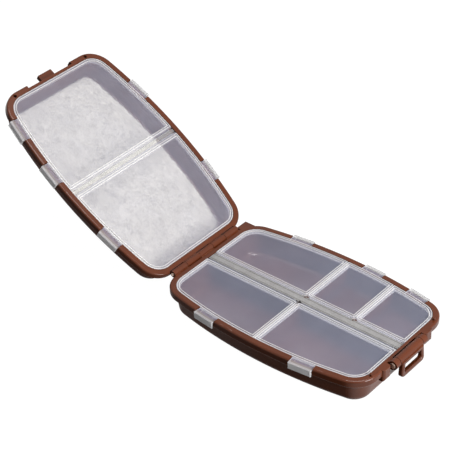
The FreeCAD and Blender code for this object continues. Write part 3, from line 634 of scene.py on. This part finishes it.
def plan_rows(inset, step):
    """Along and half-width of each row of the plan, drawn inset from the outside edge, in millimetres."""
    corner_x = half_length_mm - corner_mm
    side, corner = side_radius_mm - inset, corner_mm - inset
    corner_y = math.sqrt((side_radius_mm - corner_mm) ** 2 - corner_x**2) - side_centre_mm
    lean = math.atan2(corner_y + side_centre_mm, corner_x)
    rows = []
    turns = max(least_turns, round(corner * lean / step))
    for count in range(turns):
        angle = lean * count / turns
        rows.append((corner_x + corner * math.cos(angle), corner_y + corner * math.sin(angle)))
    side_x = side * math.cos(lean)
    steps = round(side_x / step)
    for count in range(steps + 1):
        along = side_x * (1 - count / steps)
        rows.append((along, math.sqrt(side**2 - along**2) - side_centre_mm))
    return rows + [(-along, width) for along, width in reversed(rows[:-1])]


film_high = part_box("fleece_backing")[1]
fleece_half_width = film_high.y / MM
fleece_inset = side_radius_mm - side_centre_mm - fleece_half_width
fleece_rows = plan_rows(fleece_inset, row_step_mm)
print("fleece rows:", len(fleece_rows), "inset", round(fleece_inset, 2), "mm")

# %% Fleece: tufted sheet
floor_height = max((v.co - hinge_point).dot(lid_up) for v in nodes["fleece_backing"].data.vertices) / MM
columns = 110
pile_mm, glue_gap_mm = 1.6, 0.02
mean_share, tuft_share, curl_share = 0.74, 0.26, 0.24
tuft_mm, tuft_layer = 3.4, 1.7
curl_mm, curl_layer = 1.3, 8.3
least_wander_mm, broad_wander_mm, fine_wander_mm = 0.2, 1.6, 0.9
broad_bite_mm, broad_layer = 4.5, 2.9
fine_bite_mm, fine_layer = 1.4, 6.3
near_seed, far_seed = 0.0, 40.0
edge_share, edge_fade_mm = 0.3, 1.4


def on_lid(along, across, height):
    """Point in the row frame, from millimetres along and across the lid half and above the film."""
    outward = along - hinge_point.x / MM
    lift = floor_height + height
    return hinge_point + (lid_along * outward + lid_up * lift) * MM + Vector((0, across * MM, 0))


def tuft(along, across):
    """Height of the pile above a point, from broad tufts and finer curls."""
    broad = noise.noise(Vector((along / tuft_mm, across / tuft_mm, tuft_layer)))
    curls = noise.noise(Vector((along / curl_mm, across / curl_mm, curl_layer)))
    return pile_mm * (mean_share + tuft_share * broad + curl_share * curls)


def ragged(along, seed):
    """How far the cut edge of the fleece wanders in from the wall, in millimetres."""
    broad = abs(noise.noise(Vector((along / broad_bite_mm, seed, broad_layer))))
    fine = abs(noise.noise(Vector((along / fine_bite_mm, seed, fine_layer))))
    return least_wander_mm + broad_wander_mm * broad + fine_wander_mm * fine


def fleece_mesh():
    """The sheet as one closed skin: a tufted top, a flat underside and a rim that joins them."""
    top, under, faces = [], [], []
    for along, width in fleece_rows:
        near, far = -width + ragged(along, near_seed), width - ragged(along, far_seed)
        for column in range(columns + 1):
            across = near + (far - near) * column / columns
            edge = min(half_length_mm - fleece_inset - abs(along), across - near, far - across)
            fade = min(1.0, edge_share + edge / edge_fade_mm)
            top.append(on_lid(along, across, tuft(along, across) * fade))
            under.append(on_lid(along, across, glue_gap_mm))
    vertices, top_count = top + under, len(top)
    across_count = columns + 1
    last = len(fleece_rows) - 1
    for row in range(last):
        for column in range(columns):
            first = row * across_count + column
            after = first + across_count
            faces.append((first, after, after + 1, first + 1))
            faces.append(tuple(top_count + v for v in (first, first + 1, after + 1, after)))
    rim = list(range(columns))
    rim += [row * across_count + columns for row in range(last)]
    rim += [last * across_count + column for column in range(columns, 0, -1)]
    rim += [row * across_count for row in range(last, 0, -1)]
    for here, after in zip(rim, rim[1:] + rim[:1]):
        faces.append((here, after, after + top_count, here + top_count))
    mesh = bpy.data.meshes.new("fleece_sheet")
    mesh.from_pydata(vertices, [], faces)
    mesh.update()
    mesh.polygons.foreach_set("use_smooth", [True] * len(mesh.polygons))
    return mesh


fleece = bpy.data.objects.new("fleece_sheet", fleece_mesh())
scene.collection.objects.link(fleece)
print("fleece faces:", len(fleece.data.polygons))

# %% [markdown]
# The fleece's finish is off-white, with a painted shade that greys it where the painted curls and clumps
# dip, as between tufts; sheen for the loose fibres and a fine bump for the curls too small to model.

# %% Material: fleece
# the colour between the tufts is a painted shade
fleece_shaded, fleece_tips = (0.44, 0.421, 0.374, 1), (0.79, 0.76, 0.692, 1)
painted_curl_mm, painted_clump_mm = 1.7, 8.0
painted_curl_share, painted_clump_share = 0.8, 0.2
shade_low, shade_high = 0.36, 0.62


def fleece_finish():
    material, tree, shader = new_material("white_fleece")
    point = object_point(tree)
    curls = noise_of(tree, point, 1 / (painted_curl_mm * MM), detail=3.0, distortion=2.4)
    clumps = noise_of(tree, point, 1 / (painted_clump_mm * MM), detail=2.0)
    curl_part = sum_of(tree, "MULTIPLY", curls, painted_curl_share)
    clump_part = sum_of(tree, "MULTIPLY", clumps, painted_clump_share)
    # painted shade: greyer where the curl and clump noise is low, as in the dips between curls
    shade = step_up(tree, sum_of(tree, "ADD", curl_part, clump_part), shade_low, shade_high)
    look = {
        "Base Color": blend_of(tree, shade, fleece_shaded, fleece_tips),
        "Roughness": 0.95,
        "Specular IOR Level": 0.1,
        "Sheen Weight": 0.2,
        "Normal": bump_of(tree, curls, strength=0.8, depth_mm=0.6),
    }
    fill(tree, shader, look)
    return material


white_fleece = fleece_finish()
fleece.data.materials.append(white_fleece)
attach(fleece, "lid")
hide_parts("fleece_pad")

# %% [markdown]
# ## Floor, backdrop and light
# The photograph has a white ground with hardly any shadow, and light that comes mostly from above and
# behind, so the walls that face us are dark. The floor is grey to the light that bounces off it and
# white to the camera, which keeps bounce out of those walls. A soft lamp hangs above and behind, and a
# second one lights the latch end from the side. Milky plastic passes light along inside itself, so its
# lips glow even where they face away from both. Tracing that is slow and noisy; a faint front lamp that
# light linking keeps to the milky pieces does the same.

# %% Floor
floor_half, floor_drop_mm = 4.0, 0.2
bounce_grey, white = (0.09, 0.09, 0.09, 1), (1, 1, 1, 1)


def seen_by_eye(tree):
    """1 where the eye sees a surface straight, in a gloss or through a clear piece, 0 for soft bounces."""
    path = node(tree, "LightPath").outputs
    seen = sum_of(tree, "MAXIMUM", path["Is Camera Ray"], path["Is Glossy Ray"])
    return sum_of(tree, "MAXIMUM", seen, path["Is Transmission Ray"])


floor_mesh = bpy.data.meshes.new("floor")
signs = ((-1, -1), (1, -1), (1, 1), (-1, 1))
floor_mesh.from_pydata([(floor_half * x, floor_half * y, 0) for x, y in signs], [], [(0, 1, 2, 3)])
floor = bpy.data.objects.new("floor", floor_mesh)
floor.location.z = -floor_drop_mm * MM
scene.collection.objects.link(floor)
floor_material = bpy.data.materials.new("pale_floor")
floor_material.use_nodes = True
tree = floor_material.node_tree
tree.nodes.clear()
grey = node(tree, "BsdfDiffuse", {"Color": bounce_grey}).outputs[0]
glow = node(tree, "Emission", {"Color": white, "Strength": 1.0}).outputs[0]
lit = node(tree, "AddShader", {0: grey, 1: glow}).outputs[0]
mixed = node(tree, "MixShader", {0: seen_by_eye(tree), 1: grey, 2: lit}).outputs[0]
node(tree, "OutputMaterial", {"Surface": mixed})
floor_mesh.materials.append(floor_material)
print("floor", 2 * floor_half, "metres across")

# %% World
world = bpy.data.worlds.new("studio")
scene.world = world
world.use_nodes = True
tree = world.node_tree
tree.nodes.clear()
ambient = 0.05
strength = range_of(tree, seen_by_eye(tree), low=ambient, high=1.0)
sky = node(tree, "Background", {"Color": white, "Strength": strength}).outputs[0]
node(tree, "OutputWorld", {"Surface": sky})
print("ambient level", ambient)


# %% Lamps
def soft_lamp(name, place, target, size, power):
    """A square area lamp that points at a target."""
    data = bpy.data.lights.new(name, "AREA")
    data.size = size
    data.energy = power
    lamp = bpy.data.objects.new(name, data)
    lamp.location = place
    lamp.rotation_euler = (Vector(target) - Vector(place)).to_track_quat("-Z", "Y").to_euler()
    lamp.visible_camera = False
    scene.collection.objects.link(lamp)
    return lamp


middle = (cad_box[0] + cad_box[1]) / 2
base_rim_middle = (0, 0, 0.02)
soft_lamp("overhead", place=(0.1, 0.14, 1.0), target=middle, size=0.42, power=9.0)
soft_lamp("latch_side", place=(0.58, 0.0, 0.24), target=base_rim_middle, size=0.24, power=4.3)
front_fill = soft_lamp("front_fill", place=(0.25, -0.9, 0.45), target=middle, size=0.5, power=2.0)
milky_pieces = bpy.data.collections.new("milky_pieces")
for name in finishes[base_lids] + finishes[lid_doors]:
    milky_pieces.objects.link(nodes[name])
front_fill.light_linking.receiver_collection = milky_pieces

# %% [markdown]
# ## View transform
# The colours are meant as written, so the view transform is Standard.

# %% Finish
scene.view_settings.view_transform = "Standard"
